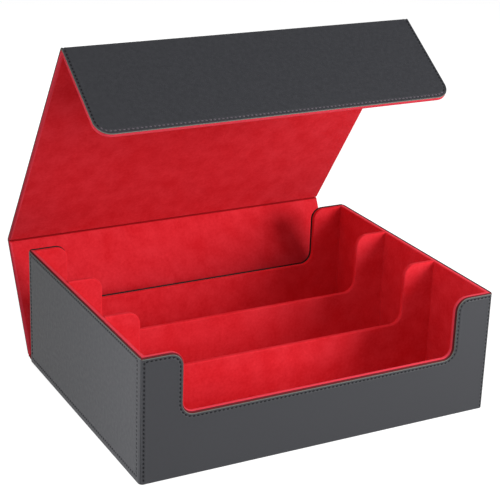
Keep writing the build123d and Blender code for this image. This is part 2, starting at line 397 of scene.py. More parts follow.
# %% [markdown]
# Every sheet is drawn flat first, as a cutter would draw it: a ring of corners in
# millimetres. A corner may be rounded, and it is marked where it lies on a free edge, one
# that shows its cut or is wrapped over the board. Long sides are then divided three times a
# stitch, which lets a sheet follow its stitches and bend round a corner.

# %% Helpers for flat drawings
PITCH = 3.4
STEP = PITCH / 3
ARC_STEPS = 8
TINY, FAR_OFF = 1e-6, 1e6


def drawn(corners):
    """Rounds the corners, each (x, y, radius, free), and returns points and free marks."""
    at = [np.array(c[:2], float) for c in corners]
    points, free = [], []
    for i, (_, _, radius, is_free) in enumerate(corners):
        if not radius:
            points.append(at[i])
            free.append(is_free)
            continue
        back = (at[i - 1] - at[i]) / np.linalg.norm(at[i - 1] - at[i]) * radius
        on = at[(i + 1) % len(at)] - at[i]
        on = on / np.linalg.norm(on) * radius
        for turn in np.linspace(0, math.pi / 2, ARC_STEPS + 1):
            points.append(at[i] + back + on - on * math.cos(turn) - back * math.sin(turn))
            free.append(is_free)
    return np.array(points), np.array(free)


def pieces_of(points, step=STEP):
    """How many pieces each side of a drawing is divided into."""
    lengths = np.linalg.norm(np.roll(points, -1, axis=0) - points, axis=1)
    return np.maximum(1, np.round(lengths / step)).astype(int)


def divided(points, pieces):
    """The drawing's points with each side divided into its number of pieces."""
    ends = np.roll(points, -1, axis=0)
    runs = [a + (b - a) * np.arange(n)[:, None] / n for a, b, n in zip(points, ends, pieces)]
    return np.vstack(runs)


def distance_to(points, paths):
    """Each point's distance to the nearest open path, and how far along the path that is."""
    gap, along = np.full(len(points), FAR_OFF), np.zeros(len(points))
    for path in paths:
        run = 0.0
        for a, b in zip(path[:-1], path[1:]):
            length = np.linalg.norm(b - a)
            if length < TINY:
                continue
            share = np.clip((points - a) @ (b - a) / length**2, 0, 1)
            off = np.linalg.norm(points - a - share[:, None] * (b - a), axis=1)
            closer = off < gap
            gap[closer] = off[closer]
            along[closer] = run + share[closer] * length
            run += length
    return gap, along


print("sides are divided every", round(STEP, 2), "mm")

# %% [markdown]
# A flat drawing becomes a real sheet by lofting: rings of points are stacked from the back
# of the sheet, over its edge, to the middle of its face, and both ends are closed. The
# result is a closed body with a true thickness and a rolled edge, which a plane with a bump
# map would not be. Chosen faces get another material, such as the cut edge. Shading is
# smooth, except where two faces meet at more than 40 degrees.

# %% Helpers that make meshes
SHARP = math.radians(40)


def body_of_sheet(name, rings, materials, second=None):
    """Lofts rings of points in mm. second gives the material of each (ring, column) face."""
    count = len(rings[0])
    faces, chosen = [], []
    for k in range(len(rings) - 1):
        for i in range(count):
            j = (i + 1) % count
            faces.append((k * count + i, k * count + j, (k + 1) * count + j, (k + 1) * count + i))
            chosen.append(int(second[k][i]) if second is not None else 0)
    last = (len(rings) - 1) * count
    faces += [tuple(range(count))[::-1], tuple(range(last, last + count))]
    chosen += [0, 0]
    return mesh_object(name, np.vstack(rings), faces, materials, chosen)


def mesh_object(name, points, faces, materials, chosen):
    """A piece of points in mm. chosen gives the material of each face."""
    mesh = bpy.data.meshes.new(name)
    mesh.from_pydata((np.array(points) * MM).tolist(), [], faces)
    for material in materials:
        mesh.materials.append(material)
    mesh.polygons.foreach_set("material_index", chosen)
    work = bmesh.new()
    work.from_mesh(mesh)
    bmesh.ops.remove_doubles(work, verts=work.verts, dist=TINY)
    bmesh.ops.recalc_face_normals(work, faces=work.faces)
    work.to_mesh(mesh)
    work.free()
    mesh.polygons.foreach_set("use_smooth", [True] * len(mesh.polygons))
    mesh.set_sharp_from_angle(angle=SHARP)
    made = bpy.data.objects.new(name, mesh)
    scene.collection.objects.link(made)
    return made


print("edges sharper than", round(math.degrees(SHARP)), "degrees stay sharp")

# %% [markdown]
# A tray wall is drawn unrolled, looking at it from outside. The upright corners of the tray
# are rounded, so the ends of the drawing bend round by an eighth of a turn and meet the next
# wall there. Deeper layers turn on a smaller radius, and the lining's corner is sharp. The
# window's size and radii were measured on the photograph.

# %% Drawings and places of the tray's walls
CORNER_R = 3.5
WINDOW_HALF, RIM_H, EAR_R, RIM_R = 117.0, 49.0, 10.0, 9.5
WALLS = {
    "front": ((1, 0), (0, -1), HALF_W, HALF_D),
    "right": ((0, 1), (1, 0), HALF_D, HALF_W),
    "rear": ((-1, 0), (0, 1), HALF_W, HALF_D),
    "left": ((0, -1), (-1, 0), HALF_D, HALF_W),
}


def window_drawing(end, foot, tops, free):
    """A sheet with the U-shaped window. tops are the heights of its two ears."""
    ear, rim = WINDOW_HALF + free, RIM_H - free
    low, high = tops
    return [
        (-end, foot, 0, False), (end, foot, 0, False), (end, high, 0, False), (end, high, 0, True),
        (ear, high, EAR_R - free, True), (ear, rim, RIM_R + free, True),
        (-ear, rim, RIM_R + free, True), (-ear, low, EAR_R - free, True),
        (-end, low, 0, True), (-end, low, 0, False),
    ]


def wall_drawing(wall, level, foot, side=0.0, free=0.0, sunk=(0.0, 0.0), bend=CORNER_R):
    """A wall's sheet at a level (0 is its face, deeper is negative).

    side and free draw in its upright ends and its free edges, and sunk lowers its left and
    right top further.
    """
    half = WALLS[wall][2]
    radius = max(bend + level, 0)
    end = half + level - radius + radius * math.pi / 4 - side
    corners = window_drawing(end, foot, [HEIGHT - s - free for s in sunk], free)
    if wall in ("left", "right"):
        corners = corners[:4] + corners[-2:]
    return drawn(corners)


def onto_wall(wall, points, level, rise=0.0, bend=CORNER_R):
    """Puts points of a wall's drawing at a level onto the wall, raised off it by rise."""
    sideways, outward, half, reach = WALLS[wall]
    radius = max(bend + level, 0)
    flat = half + level - radius
    u, v = points[:, 0], points[:, 1]
    rise = np.broadcast_to(rise, u.shape)
    turn = np.clip(np.abs(u) - flat, 0, None) / max(radius, TINY)
    arc = np.where(turn > 0, radius + rise, 0)
    along = np.sign(u) * (np.minimum(np.abs(u), flat) + arc * np.sin(turn))
    out = reach + level + rise + arc * (np.cos(turn) - 1)
    xy = along[:, None] * np.array(sideways, float) + out[:, None] * np.array(outward, float)
    return np.column_stack([xy, v])


print("window in mm", 2 * WINDOW_HALF, "wide, its rim at", RIM_H)

# %% [markdown]
# The folding cover has three panels. Each is drawn flat from one fold to the next, and lies
# square to its fold, leaning as the box stands open. The flap stands square to the top. The
# panels' corners are square, except the two at the flap's free edge, which are rounded.

# %% Drawings and places of the cover's panels
FLAP_CORNER_R = 12.5
top_way = (FLAP_AXIS - RIDGE_AXIS) / TOP_L
FLAP_END = FLAP_AXIS + FLAP_L * np.array([-top_way[1], top_way[0]])
PANELS = {
    "spine": (BASE_AXIS, RIDGE_AXIS, SPINE_L),
    "top": (RIDGE_AXIS, FLAP_AXIS, TOP_L),
    "flap": (FLAP_AXIS, FLAP_END, FLAP_L),
}


def panel_drawing(panel, fold, side):
    """A panel's sheet, drawn in from its folds and from its free edges."""
    length, half = PANELS[panel][2], HALF_W - side
    near = [(-half, fold, 0, False), (half, fold, 0, False), (half, fold, 0, True)]
    if panel == "flap":
        end = length - side
        far = [(half, end, FLAP_CORNER_R - side, True), (-half, end, FLAP_CORNER_R - side, True)]
    else:
        end = length - fold
        far = [
            (half, end, 0, True), (half, end, 0, False),
            (-half, end, 0, False), (-half, end, 0, True),
        ]
    return drawn(near + far + [(-half, fold, 0, True)])


def onto_panel(panel, points, height):
    """Puts points of a panel's drawing at a height above its middle plane."""
    start, end, length = PANELS[panel]
    way = (end - start) / length
    out = np.array([way[1], -way[0]])
    height = np.broadcast_to(height, len(points))
    yz = start + points[:, 1:] * way + height[:, None] * out
    return np.column_stack([points[:, 0], yz])


print("flap's free edge at", FLAP_END.round(1))

# %% [markdown]
# The seam is what makes the leathercloth look sewn. The needle pulls the thread down, so the
# sheet sinks under each stitch and rises again between two of them, and it swells a little
# beside the row. One function gives that relief from a point's distance to the row and its
# place along it. The same function rolls the sheet over where it ends. RINGS holds how far
# inside the edge each ring of the sheet lies, close together where the relief is. Behind its
# edge the sheet slopes back to the board, which leaves a narrow gap beside the lining.

# %% Relief of a sewn edge
SIDE_INSET, END_INSET = 2.0, 3.0
SINK, SINK_W = 0.45, 0.55
SINK_MEAN, SINK_WAVE = 0.55, 0.45
SWELL, SWELL_AT, SWELL_W = 0.12, 1.3, 0.6


def relief(points, edges, seams, roll):
    """How far each point of a drawing stands proud (or sinks) beside edges and seams."""
    rise = np.zeros(len(points))
    if edges:
        to_edge, _ = distance_to(points, edges)
        over = np.clip(roll - to_edge, 0, roll)
        rise -= roll - np.sqrt(roll**2 - over**2)
    if seams:
        to_seam, along = distance_to(points, seams)
        stitch = SINK_MEAN - SINK_WAVE * np.cos(2 * math.pi * along / PITCH)
        rise -= SINK * stitch * np.exp(-((to_seam / SINK_W) ** 2))
        rise += SWELL * np.exp(-(((to_seam - SWELL_AT) / SWELL_W) ** 2))
    return rise


RINGS = (0, 0.12, 0.35, 0.7, 1.3, 1.7, 2.0, 2.3, 2.7, 3.0, 3.4, 4.0, 5.0, 7.0, 8.4, 9.0)
EDGE_ROLL, CORNER_ROLL = 0.6, 0.3
GAP_LEVEL, GAP_LIP, GAP_DEPTH, BACK_DROP = 0.45, 0.15, 0.9, 0.6
SKIN_MATERIALS = [leathercloth, cut_edge_painted_highlight, glue_and_painted_shade]
# PALE_EDGE gives the rolled edge the pale cut edge, partly painted highlight, behind a glue line of painted shade.
# The rear wall's edge is painted shade all over.
PALE_EDGE, PAINTED_SHADE_EDGE = (0, 2, 1, 1, 1), (0, 2, 2, 2, 2, 2)


def edge_faces(ring_count, cut, kinds=PALE_EDGE):
    """The material of every face: kinds along a cut edge, ring by ring, then leathercloth."""
    kinds = list(kinds) + [0] * (ring_count - len(kinds))
    return [cut * kind for kind in kinds]


print("a stitch sinks", SINK, "mm, the edge rolls over", EDGE_ROLL, "mm")

# %% [markdown]
# The front and rear walls have a wide window with rounded ears, and their stitches follow the window and both
# upright corners but not the foot. The side walls are sewn all round, further from the corners and the foot than
# from the top. Each row's distance from its edge was measured on the photograph, and so was how far a wall's top
# is SUNK below the lining's fold. The rear wall's edge is painted shade all over, and on the other walls the pale
# edge is partly painted highlight. Each wall's leathercloth replaces its CAD sheet and rides on the tray.

# %% Leathercloth on the walls
SIDE_SEAM, FRONT_SEAM, WALL_SEAM, TOP_SEAM, FOOT_SEAM = 5.0, 2.2, 2.1, 1.8, 4.7
SUNK = {"front": (1.4, 0.8), "right": (0.4, 0.4), "rear": (0.2, 0.2), "left": (1.0, 1.0)}
seam_rows = []

for wall in WALLS:
    foot = COVER if wall == "rear" else 0.0
    windowed = wall in ("front", "rear")
    sunk = SUNK[wall]
    flat, free = wall_drawing(wall, 0, foot, sunk=sunk)
    pieces = pieces_of(flat)
    cut = np.repeat(free, pieces)
    if windowed:
        sewn = wall_drawing(wall, 0, foot + 1, FRONT_SEAM, WALL_SEAM, sunk)[0]
        seam = np.vstack([sewn[1:], sewn[:1]])
    else:
        sewn = wall_drawing(wall, 0, foot + FOOT_SEAM, SIDE_SEAM, TOP_SEAM, sunk)[0]
        seam = np.vstack([sewn, sewn[:1]])
    top_and_foot = [flat[2:], flat[:2]]
    corners = [flat[1:3], flat[[-1, 0]]]
    inmost = RINGS[-1]
    rings = []
    for level, inset, free_inset, lowered in (
        (-COVER, inmost, inmost, sunk),
        (-COVER, 0, GAP_DEPTH, (BACK_DROP, BACK_DROP)),
        (-GAP_LEVEL, 0, GAP_LIP, sunk),
    ):
        back = wall_drawing(wall, level, foot + inset, inset, free_inset, lowered)[0]
        rings.append(onto_wall(wall, divided(back, pieces), level))
    for inset in RINGS:
        points = divided(wall_drawing(wall, 0, foot + inset, inset, inset, sunk)[0], pieces)
        rise = relief(points, top_and_foot, [seam], EDGE_ROLL)
        rise += relief(points, corners, [], CORNER_ROLL)
        rings.append(onto_wall(wall, points, 0, rise))
    # The rear wall's edge takes painted shade all over.
    kinds = edge_faces(len(rings), cut, PAINTED_SHADE_EDGE if wall == "rear" else PALE_EDGE)
    skin = body_of_sheet(f"{wall}_wall_leathercloth", rings, SKIN_MATERIALS, kinds)
    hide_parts(f"{wall}_wall_cover")
    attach(skin, "tray")
    place_on = lambda p, r, wall=wall: onto_wall(wall, p, 0, r)
    seam_rows.append((wall, "tray", [seam], place_on))
    print(skin.name, len(skin.data.vertices), "points")

# %% [markdown]
# The cover's leathercloth is one sheet from the tray's underside to the flap's free edge.
# It is built panel by panel, because each panel moves on its own. A panel has no rolled edge
# at its folds, so that the strips that bend round the folds continue it, and its seams run
# on along the sides only. The flap is sewn round its free edge too, a little further in.

# %% Leathercloth on the folding cover
HALF_COVER = HALF_T - COVER
TAB = 3.0
SEAM_START = 0.5

for panel in PANELS:
    flat, free = panel_drawing(panel, TAB, 0)
    pieces = pieces_of(flat)
    cut = np.repeat(free, pieces)
    inner = panel_drawing(panel, SEAM_START, SIDE_INSET)[0]
    if panel == "flap":
        inner[:, 1] -= (END_INSET - SIDE_INSET) * (inner[:, 1] > FLAP_L / 2)
        edges, seams = [flat[2:]], [inner[2:]]
    else:
        edges, seams = [flat[2:4], flat[6:8]], [inner[2:4], inner[6:8]]
    rings = []
    for fold_inset, side_inset, height in (
        (TAB + RINGS[-1], RINGS[-1], HALF_COVER),
        (TAB, GAP_DEPTH, HALF_COVER),
        (TAB, GAP_LIP, HALF_T - GAP_LEVEL),
    ):
        back = panel_drawing(panel, fold_inset, side_inset)[0]
        rings.append(onto_panel(panel, divided(back, pieces), height))
    for inset in RINGS:
        points = divided(panel_drawing(panel, TAB + inset, inset)[0], pieces)
        rise = relief(points, edges, seams, EDGE_ROLL)
        rings.append(onto_panel(panel, points, HALF_T + rise))
    kinds = edge_faces(len(rings), cut)
    skin = body_of_sheet(f"{panel}_leathercloth", rings, SKIN_MATERIALS, kinds)
    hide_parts(f"{panel}_cover")
    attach(skin, panel)
    place_on = lambda p, r, panel=panel: onto_panel(panel, p, HALF_T + r)
    seam_rows.append((panel, panel, seams, place_on))
    print(skin.name, len(skin.data.vertices), "points")

# %% [markdown]
# A strip of the same leathercloth bends round each fold. It is drawn as sections across the box, a flat tab on
# each side and an arc round the fold's axis between them. The lowest strip has a shorter tab and is a little
# narrower, because it runs in under the tray.

# %% The folds, and points beside them
LEANS = {"tray": -math.pi / 2}
for panel, (start, end, _) in PANELS.items():
    LEANS[panel] = math.atan2(-(end - start)[0], (end - start)[1])
BASE_TAB, BASE_NARROW = 2.45, 1.05
FOLDS = {
    "base": (BASE_AXIS, "tray", "spine", BASE_TAB, BASE_NARROW),
    "ridge": (RIDGE_AXIS, "spine", "top", TAB, 0.0),
    "flap": (FLAP_AXIS, "top", "flap", TAB, 0.0),
}


def at_fold(axis, lean, run, height):
    """A point beside a fold: run along the panel that leans so, and height off its middle."""
    way = np.array([-math.sin(lean), math.cos(lean)])
    out = np.array([math.cos(lean), math.sin(lean)])
    return axis + run * way + height * out


print("leans in degrees", {body: round(math.degrees(lean), 1) for body, lean in LEANS.items()})

# %% [markdown]
# Across the box a strip has the same rings as a panel, from both sides, so relief and rolled
# edge run on from panel to fold without a step. Its underside is a plain arc. It is a loft of
# equal sections, so its outermost faces are the ones that show the cut edge.

# %% Leathercloth round the folds
BEND_STEPS = 9
LONG = 9.0

for fold, (axis, before, after, first_tab, narrow) in FOLDS.items():
    bend = np.linspace(LEANS[before], LEANS[after], BEND_STEPS)
    leans = [LEANS[before]] * 3 + list(bend) + [LEANS[after]] * 3
    runs = [-first_tab, -first_tab * 2 / 3, -first_tab / 3] + [0] * BEND_STEPS
    runs += [TAB / 3, TAB * 2 / 3, TAB]
    half = HALF_W - narrow
    insets = np.array(RINGS)
    across = np.concatenate([-half + insets, half - insets[::-1]])
    from_side = np.concatenate([insets, insets[::-1]])
    strip_edges = [np.array([[0.0, -LONG], [0.0, LONG]])]
    strip_seams = [strip_edges[0] + [SIDE_INSET - narrow, 0]]
    beside = np.column_stack([from_side, 0 * from_side])
    rise = relief(beside, strip_edges, strip_seams, EDGE_ROLL)
    rings = []
    for lean, run in zip(leans, runs):
        yz = [at_fold(axis, lean, run, HALF_T + r) for r in rise]
        under = at_fold(axis, lean, run, HALF_COVER)
        section = [(x, *p) for x, p in zip(across, yz)] + [(half, *under), (-half, *under)]
        rings.append(np.array(section))
    count = len(across) + 2
    second = np.zeros((len(rings), count), bool)
    # The outermost faces take the pale cut edge, partly painted highlight.
    second[:, [0, 1, count - 5, count - 4, count - 3, count - 1]] = True
    strip = body_of_sheet(f"{fold}_fold_leathercloth", rings, [leathercloth, cut_edge_painted_highlight], second)
    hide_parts(f"{fold}_hinge_strip")
    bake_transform(strip)
    print(strip.name, round(math.degrees(LEANS[after] - LEANS[before]), 1), "degrees at rest")

# %% [markdown]
# The suede cloth of a wall covers its inner face, is wrapped over the board's free edges and glued down behind the
# leathercloth. The fold is soft: it swells into the window, past the leathercloth's edge, and lies flat at the
# top, where the cover has to close. A simulation could wrap the cloth, but rings of measured insets put its fold
# where the photograph shows it. WRAP holds these rings, each as its inset in the window, its inset at the top and
# its level, from the inner face over the fold and back along the board. A negative inset stands into the window.
# FOLD_KINDS says which rings show the fold's painted highlight (1) or the pressed cloth's painted shade (2).

# %% The fold of the suede cloth on a wall
LINING, BOARD_BEND = 1.0, 1.0
BACK = -SLAB - COVER
FACE_SIDE = BACK + LINING
HOLD = 6.0
WRAP = (
    (HOLD, HOLD, BACK), (2.0, 2.0, BACK), (-0.1, 0.95, BACK), (-0.7, 0.6, BACK + 0.12),
    (-1.2, 0.4, BACK + 0.42), (-1.55, 0.32, BACK + 0.95), (-1.7, 0.3, BACK + 1.7),
    (-1.55, 0.32, -COVER - 1.6), (-1.05, 0.4, -COVER - 0.95), (0.2, 0.55, -COVER - 0.4),
    (0.7, 0.85, -COVER - 0.05), (1.05, 1.05, -COVER + 0.05), (1.5, 1.5, -COVER + 0.05),
    (1.5, 1.5, -COVER), (LINING, LINING, -COVER), (LINING, LINING, FACE_SIDE),
    (HOLD, HOLD, FACE_SIDE),
)
FOLD_KINDS = {5: 1, 6: 1, 7: 1, 8: 2, 9: 2, 10: 2, 11: 2}
print("the fold stands", -min(ring[0] for ring in WRAP), "mm into the window")

# %% [markdown]
# Along the foot and the upright corners the cloth simply ends at its first layer, so only the free edges take the
# level of the fold. The rear wall's fold is a plain one, without painted highlight, and a little lower than its
# leathercloth, which shows as a dark line. On the ears the painted highlight covers the inner side of the fold
# too. There is no stitching here, so the sides need fewer pieces.

# %% Suede cloth on the walls
CLOTH_STEP = 4.0
REAR_STEP = 0.3
INNER_HIGHLIGHT_RINGS = (2, 3, 4)

for wall in WALLS:
    flat, free = wall_drawing(wall, BACK, FLOOR_TOP)
    pieces = pieces_of(flat, CLOTH_STEP)
    wraps = np.repeat(free, pieces)[:, None]
    rings = []
    for at_window, at_top, level in WRAP:
        side = at_top if level in (BACK, FACE_SIDE) and at_top > LINING else 0.0
        if wall == "rear":
            at_top += REAR_STEP
            at_window = at_top
        edges = (FLOOR_TOP + side, side, at_window, [at_top - at_window] * 2, BOARD_BEND)
        layers = []
        for own in (level, min(level, FACE_SIDE)):
            points = divided(wall_drawing(wall, own, *edges)[0], pieces)
            layers.append(onto_wall(wall, points, own, 0.0, BOARD_BEND))
        rings.append(np.where(wraps, *layers))
    u = np.abs(divided(flat, pieces)[:, 0])
    on_fold = wraps[:, 0]
    # On the ears the fold's painted highlight also covers its inner side.
    upright = on_fold & (u > WINDOW_HALF - RIM_R) & (u < WINDOW_HALF + EAR_R)
    second = [
        on_fold * FOLD_KINDS.get(k, 0) + upright * (k in INNER_HIGHLIGHT_RINGS) for k in range(len(rings))
    ]
    # The fold's painted highlight is left off the rear wall.
    fold = suede if wall == "rear" else fold_painted_highlight
    skin = body_of_sheet(f"{wall}_wall_suede", rings, [suede, fold, suede_painted_shade], second)
    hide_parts(f"{wall}_wall_lining")
    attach(skin, "tray")
    print(skin.name, len(skin.data.vertices), "points")

# %% [markdown]
# The cover's suede cloth is wrapped over the board's sides in the same way, here as rings of an inset and a height
# off the panel's middle. The real one is one long sheet. Here each panel has its own, because it moves alone. At
# the folds it ends in a bevel, which leaves room for the panels to close against each other. The folds take the
# paler painted highlight. Along the flap's free edge the fold is painted dark instead, as painted shade. Along the
# left edges, where the light from the left grazes it, the painted highlight runs a little wider.

# %% Suede cloth on the folding cover
BEVEL = 0.3
PANEL_WRAP = (
    (HOLD, -HALF_T), (2.0, -HALF_T), (0.8, -HALF_T), (0.4, -HALF_T + 0.12),
    (0.12, -HALF_T + 0.4), (0, -HALF_T + 0.8), (0, HALF_COVER - 1.4), (0, HALF_COVER - 0.7),
    (0.15, HALF_COVER - 0.3), (0.5, HALF_COVER - 0.05), (LINING, HALF_COVER),
    (LINING, LINING - HALF_T), (HOLD, LINING - HALF_T),
)
HIGHLIGHT_RINGS, SHADE_RINGS, WIDER_HIGHLIGHT_RING = range(2, 10), range(6, 10), 1
FREE_EDGE = 2.0

for panel in PANELS:
    flat, free = panel_drawing(panel, BEVEL + HALF_T, 0)
    pieces = pieces_of(flat, CLOTH_STEP)
    wraps = np.repeat(free, pieces)[:, None]
    rings = []
    for inset, height in PANEL_WRAP:
        layers = []
        for own in (height, min(height, LINING - HALF_T)):
            fold_inset = BEVEL - min(own, 0) + max(inset - LINING, 0)
            points = divided(panel_drawing(panel, fold_inset, inset)[0], pieces)
            layers.append(onto_panel(panel, points, own))
        rings.append(np.where(wraps, *layers))
    x, run = divided(flat, pieces).T
    on_fold = wraps[:, 0]
    middle = np.abs(x) < HALF_W - FLAP_CORNER_R / 2
    # Painted shade along the flap's free edge, and painted highlight widened along the left edges.
    shaded_free_edge = (panel == "flap") & (run > FLAP_L - FREE_EDGE) & middle
    painted_highlight = on_fold & (x < 0) & ~shaded_free_edge
    second = []
    for k in range(len(rings)):
        kinds = on_fold * (k in HIGHLIGHT_RINGS) + shaded_free_edge * (k in SHADE_RINGS)
        second.append(kinds + painted_highlight * (k == WIDER_HIGHLIGHT_RING))
    skin = body_of_sheet(f"{panel}_suede", rings, [suede, fold_painted_highlight, suede_painted_shade], second)
    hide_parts(f"{panel}_lining")
    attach(skin, panel)
    print(skin.name, len(skin.data.vertices), "points")

# %% [markdown]
# Inside each fold the suede cloth goes on as a narrow crease, tucked between the bevels of the two panels, or at
# the tray between the bevel and the tongue of the underside. It is a thin folded strip: both long sides lie on the
# bevels, and the bottom line turns halfway between them.

# %% Suede creases in the folds
CLOTH = 0.15
SLANT = -CLOTH * np.array([1, 1]) / math.sqrt(2)
BEVEL_RUN = [(BEVEL + HALF_T - 0.05, -HALF_T + 0.03), (BEVEL + 0.9, -0.9), (BEVEL + 0.05, -0.02)]
TONGUE_RUN = [(2.3, HALF_COVER - 0.02), (1.2, HALF_COVER - 0.02), (0.45, HALF_COVER - 0.06)]
CREASE_INSET, CREASE_SECTIONS = 1.2, 31
BLEND_AT, BLEND_RUN, BLEND_HALF = 0.2, 0.3, 0.03

for fold, (axis, before, after, *_) in FOLDS.items():
    lean_a, lean_b = LEANS[before], LEANS[after]
    middle = (lean_a + lean_b) / 2
    if before == "tray":
        run_a, shift_a, bottoms = TONGUE_RUN, np.array([0, -CLOTH]), (0.55, 0.4)
    else:
        run_a, shift_a, bottoms = BEVEL_RUN, SLANT, (0.3, 0.12)
    sides = []
    for (da, ha), (db, hb), bottom in (((0, 0), (0, 0), bottoms[0]), (shift_a, SLANT, bottoms[1])):
        side = [at_fold(axis, lean_a, -(r + da), h + ha) for r, h in run_a]
        side += [at_fold(axis, middle, 0, bottom)]
        side += [at_fold(axis, lean_b, r + db, h + hb) for r, h in BEVEL_RUN[::-1]]
        sides.append(side)
    section = np.array(sides[0] + sides[1][::-1])
    half = HALF_W - CREASE_INSET
    rings = []
    for x in np.linspace(-half, half, CREASE_SECTIONS):
        rings.append(np.column_stack([np.full(len(section), x), section]))
    # Its deeper red is painted shade of the crease.
    crease = body_of_sheet(f"{fold}_fold_crease", rings, [crease_painted_shade])
    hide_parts(f"{fold}_hinge_tape")
    chord = at_fold(axis, lean_b, BLEND_RUN, 0) - at_fold(axis, lean_a, -BLEND_RUN, 0)
    chord = chord / np.linalg.norm(chord) * BLEND_HALF
    bottom = at_fold(axis, middle, 0, BLEND_AT)
    start, end = (bottom - chord) * MM, (bottom + chord) * MM
    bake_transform(crease)
    print(crease.name, len(crease.data.vertices), "points")

# %% [markdown]
# Each lane's floor is a loose-cut sheet of suede cloth over the floor board, a little
# rounded where it turns down at the edges. A plain box would have edges as crisp as a
# board's, so it is lofted from its underside over a soft edge to its face. Its place comes
# from the CAD sheet that it replaces.

# %% Suede cloth on the floor
FLOOR_STEP, FLOOR_HOLD = 6.0, 4

for lane in ("front", "middle", "rear"):
    low, high = box_mm(f"{lane}_floor_lining")
    flat = np.array([(low[0], low[1]), (high[0], low[1]), (high[0], high[1]), (low[0], high[1])])
    inward = np.sign((low + high)[:2] / 2 - flat)
    pieces = pieces_of(flat, FLOOR_STEP)
    rings = []
    for inset, z in (
        (FLOOR_HOLD, low[2]), (0.1, low[2]), (0.02, high[2] - 0.6),
        (0.2, high[2] - 0.2), (0.6, high[2]), (FLOOR_HOLD, high[2]),
    ):
        ring = divided(flat + inward * inset, pieces)
        rings.append(np.column_stack([ring, np.full(len(ring), z)]))
    sheet = body_of_sheet(f"{lane}_lane_suede", rings, [suede])
    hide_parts(f"{lane}_floor_lining")
    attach(sheet, "tray")
    print(sheet.name, "is", round(float(high[1] - low[1]), 1), "mm wide")

# %% [markdown]
# The two dividers have the same window as the walls. One sleeve of suede cloth is folded over
# their board all along the top and glued down on both faces, so that edge is a soft round.
# Two flat sheets would leave a seam there, so one loft goes from face to face over the edge.
# OVER holds how far each ring lies from the edge, and FALL how far below the face.

# %% Suede cloth on the dividers
DIVIDER_STEP = 3.0
OVER = np.array([6, 2, 0.9, 0.45, 0.12, 0])
FALL = np.array([0, 0, 0, 0.1, 0.4, 0.9])

for divider in ("front", "rear"):
    low, high = box_mm(f"{divider}_divider_lining")
    middle, half_t = (low[1] + high[1]) / 2, (high[1] - low[1]) / 2
    flat, _ = drawn(window_drawing(high[0], low[2], (high[2], high[2]), 0))
    pieces = pieces_of(flat, DIVIDER_STEP)
    rings, levels = [], FALL - half_t
    for inset, level in zip([*OVER, *OVER[::-1]], [*levels, *-levels[::-1]]):
        end_inset = inset if inset > 1 else 0
        top = high[2] - inset
        drawing = window_drawing(high[0] - end_inset, low[2] + end_inset, (top, top), inset)
        ring = divided(drawn(drawing)[0], pieces)
        y = np.full(len(ring), middle + level)
        rings.append(np.column_stack([ring[:, 0], y, ring[:, 1]]))
    cloth = body_of_sheet(f"{divider}_divider_suede", rings, [suede])
    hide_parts(f"{divider}_divider_lining")
    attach(cloth, "tray")
    print(cloth.name, "is", round(float(2 * half_t), 1), "mm thick")

# %% [markdown]
# The underside has its own sheet of leathercloth with a narrow tongue at the rear, where it
# runs on into the folding cover. It is only seen when the box is turned over, and takes no
# stitches, so eight corners and a few rings are enough for its loft.

# %% Leathercloth on the underside
CUT_BACK, NECK, OVERLAP = 2.5, 1.0, 0.05
BASE_STEP, BASE_HOLD = 8.0, 8
side, tongue = HALF_W - COVER, HALF_W - CUT_BACK
front, rear = -HALF_D + COVER, HALF_D + OVERLAP
flat = np.array([
    (-side, front), (side, front), (side, HALF_D - CUT_BACK), (tongue, HALF_D - NECK),
    (tongue, rear), (-tongue, rear), (-tongue, HALF_D - NECK), (-side, HALF_D - CUT_BACK),
])
pieces = pieces_of(flat, BASE_STEP)
rings = []
for inset, z in ((BASE_HOLD, COVER), (0, COVER), (0, 0.3), (0.1, 0.1), (0.3, 0), (BASE_HOLD, 0)):
    ring = divided(flat - np.sign(flat) * inset, pieces)
    rings.append(np.column_stack([ring, np.full(len(ring), z)]))
underside = body_of_sheet("underside_leathercloth", rings, [leathercloth])
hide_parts("base_cover")
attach(underside, "tray")
print(underside.name, len(underside.data.vertices), "points")

# %% [markdown]
# The stitches are short lengths of thread, not a line. A texture could draw them, but would
# look flat from the side. So each one is a small tube that comes up out of one needle hole,
# lies over the leathercloth and goes down into the next, a bit askew as a lockstitch lies.
# It is flat, because it is pulled tight: THREAD_W and THREAD_H are half its width and half
# its height. Its ends lie DEPTH below the sheet, and its middle rises again by LIFT.

# %% One stitch
STITCH = 2.1
THREAD_W, THREAD_H = 0.7, 0.26
DEPTH, LIFT, ROUNDNESS = 0.34, 0.3, 0.7
NARROW_END, WIDENS = 0.55, 0.45
SECTIONS, AROUND = 7, 6

TUBE = []
for s in range(SECTIONS - 1):
    for i in range(AROUND):
        j = (i + 1) % AROUND
        a, b = s * AROUND, (s + 1) * AROUND
        TUBE.append((a + i, a + j, b + j, b + i))
last = (SECTIONS - 1) * AROUND
TUBE += [tuple(range(AROUND))[::-1], tuple(range(last, last + AROUND))]


def along_path(path, distances):
    """Points and directions at distances along a path."""
    run = np.concatenate([[0], np.cumsum(np.linalg.norm(np.diff(path, axis=0), axis=1))])
    keep = np.concatenate([[True], np.diff(run) > TINY])
    at = np.column_stack([np.interp(distances, run[keep], path[keep, i]) for i in (0, 1)])
    way = np.gradient(at, axis=0)
    return at, way / np.linalg.norm(way, axis=1)[:, None]


